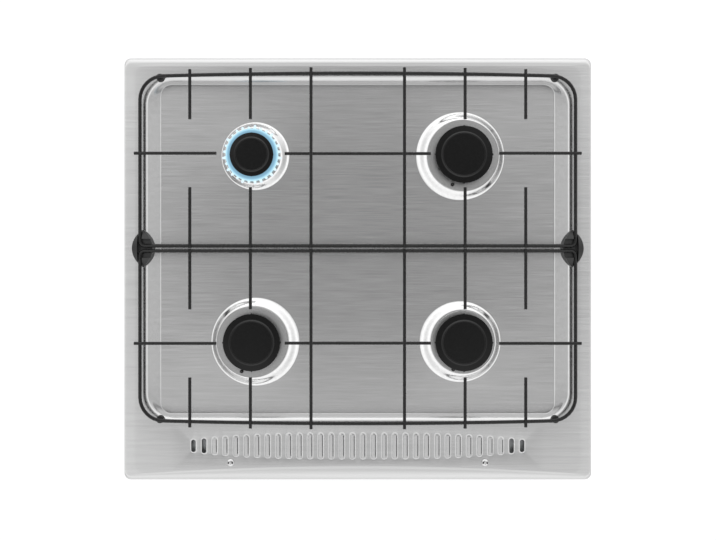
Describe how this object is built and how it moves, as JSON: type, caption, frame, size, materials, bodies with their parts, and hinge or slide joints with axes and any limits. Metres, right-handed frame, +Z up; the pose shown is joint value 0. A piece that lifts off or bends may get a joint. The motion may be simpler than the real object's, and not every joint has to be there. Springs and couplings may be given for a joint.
{
  "type": "gas hob",
  "caption": "Gas hob with a pressed brushed-steel top, lift-off wire pan supports, capped burners in raised cones, a vent row and a gas rail with taps below.",
  "frame": {"origin": "middle of the underside of the burner box, below the middle of the pressed top", "axes": "+X right, +Y rear, away from the vent row, +Z up"},
  "size_m": [0.6, 0.542, 0.0904],
  "materials": {
    "brushed_steel": "brushed along the width, satin",
    "galvanised_steel": "galvanised, faint spangle",
    "zinc_hardware": "zinc plated",
    "bright_screws": "polished stainless steel",
    "black_moulding": "satin black moulding",
    "black_wire": "gloss black enamel",
    "black_rubber": "matt black",
    "cast_aluminium": "die-cast, satin",
    "crown_aluminium": "die-cast, satin",
    "black_enamel": "satin black enamel",
    "brass": "turned brass",
    "white_ceramic": "glazed white ceramic",
    "steel_pin": "drawn steel",
    "drawn_aluminium": "drawn tube, satin",
    "steel_tube": "zinc-plated tube"
  },
  "bodies": {
    "hob": {"hob_top": "brushed_steel", "burner_box": "galvanised_steel", "vent_tray": "galvanised_steel", "rail_brackets": "galvanised_steel", "box_nuts": "zinc_hardware", "block_screws": "zinc_hardware", "cup_screws": "zinc_hardware", "cup_nuts": "zinc_hardware", "bracket_screws": "zinc_hardware", "panel_screws": "bright_screws", "side_block_left": "black_moulding", "side_block_right": "black_moulding", "cup_gaskets": "black_rubber", "burner_cup_rl": "cast_aluminium", "burner_cup_rr": "cast_aluminium", "burner_cup_fl": "cast_aluminium", "burner_cup_fr": "cast_aluminium", "injector_rl": "brass", "injector_rr": "brass", "injector_fl": "brass", "injector_fr": "brass", "pipe_nuts": "brass", "rail_end_plug": "brass", "gas_inlet": "brass", "gas_tap_rl": "brass", "gas_tap_rr": "brass", "gas_tap_fl": "brass", "gas_tap_fr": "brass", "igniter_rl": "white_ceramic", "igniter_rr": "white_ceramic", "igniter_fl": "white_ceramic", "igniter_fr": "white_ceramic", "igniter_pins": "steel_pin", "feed_pipe_rl": "drawn_aluminium", "feed_pipe_rr": "drawn_aluminium", "feed_pipe_fl": "drawn_aluminium", "feed_pipe_fr": "drawn_aluminium", "gas_rail": "steel_tube"},
    "rear_support": {"rear_frame_wire": "black_wire", "rear_finger_wires": "black_wire", "rear_centre_wires": "black_wire", "rear_feet": "black_rubber"},
    "front_support": {"front_frame_wire": "black_wire", "front_finger_wires": "black_wire", "front_centre_wires": "black_wire", "front_feet": "black_rubber"},
    "crown_rl": {"burner_crown_rl": "crown_aluminium"},
    "cap_rl": {"burner_cap_rl": "black_enamel"},
    "spindle_rl": {"tap_spindle_rl": "steel_pin"},
    "crown_rr": {"burner_crown_rr": "crown_aluminium"},
    "cap_rr": {"burner_cap_rr": "black_enamel"},
    "spindle_rr": {"tap_spindle_rr": "steel_pin"},
    "crown_fl": {"burner_crown_fl": "crown_aluminium"},
    "cap_fl": {"burner_cap_fl": "black_enamel"},
    "spindle_fl": {"tap_spindle_fl": "steel_pin"},
    "crown_fr": {"burner_crown_fr": "crown_aluminium"},
    "cap_fr": {"burner_cap_fr": "black_enamel"},
    "spindle_fr": {"tap_spindle_fr": "steel_pin"}
  },
  "joints": [
    {"name": "rear_support_lift", "type": "slide", "parent": "hob", "child": "rear_support", "axis": [0, 0, 1], "range_m": [0, 0.08]},
    {"name": "front_support_lift", "type": "slide", "parent": "hob", "child": "front_support", "axis": [0, 0, 1], "range_m": [0, 0.08]},
    {"name": "crown_lift_rl", "type": "slide", "parent": "hob", "child": "crown_rl", "axis": [0, 0, 1], "range_m": [0, 0.03]},
    {"name": "cap_lift_rl", "type": "slide", "parent": "crown_rl", "child": "cap_rl", "axis": [0, 0, 1], "range_m": [0, 0.025]},
    {"name": "tap_turn_rl", "type": "hinge", "parent": "hob", "child": "spindle_rl", "pos_m": [-0.0905, -0.252, 0.032], "axis": [0, -1, 0], "range_deg": [0, 210]},
    {"name": "crown_lift_rr", "type": "slide", "parent": "hob", "child": "crown_rr", "axis": [0, 0, 1], "range_m": [0, 0.03]},
    {"name": "cap_lift_rr", "type": "slide", "parent": "crown_rr", "child": "cap_rr", "axis": [0, 0, 1], "range_m": [0, 0.025]},
    {"name": "tap_turn_rr", "type": "hinge", "parent": "hob", "child": "spindle_rr", "pos_m": [0.0905, -0.252, 0.032], "axis": [0, -1, 0], "range_deg": [0, 210]},
    {"name": "crown_lift_fl", "type": "slide", "parent": "hob", "child": "crown_fl", "axis": [0, 0, 1], "range_m": [0, 0.03]},
    {"name": "cap_lift_fl", "type": "slide", "parent": "crown_fl", "child": "cap_fl", "axis": [0, 0, 1], "range_m": [0, 0.025]},
    {"name": "tap_turn_fl", "type": "hinge", "parent": "hob", "child": "spindle_fl", "pos_m": [-0.1805, -0.252, 0.032], "axis": [0, -1, 0], "range_deg": [0, 210]},
    {"name": "crown_lift_fr", "type": "slide", "parent": "hob", "child": "crown_fr", "axis": [0, 0, 1], "range_m": [0, 0.03]},
    {"name": "cap_lift_fr", "type": "slide", "parent": "crown_fr", "child": "cap_fr", "axis": [0, 0, 1], "range_m": [0, 0.025]},
    {"name": "tap_turn_fr", "type": "hinge", "parent": "hob", "child": "spindle_fr", "pos_m": [0.1805, -0.252, 0.032], "axis": [0, -1, 0], "range_deg": [0, 210]}
  ]
}
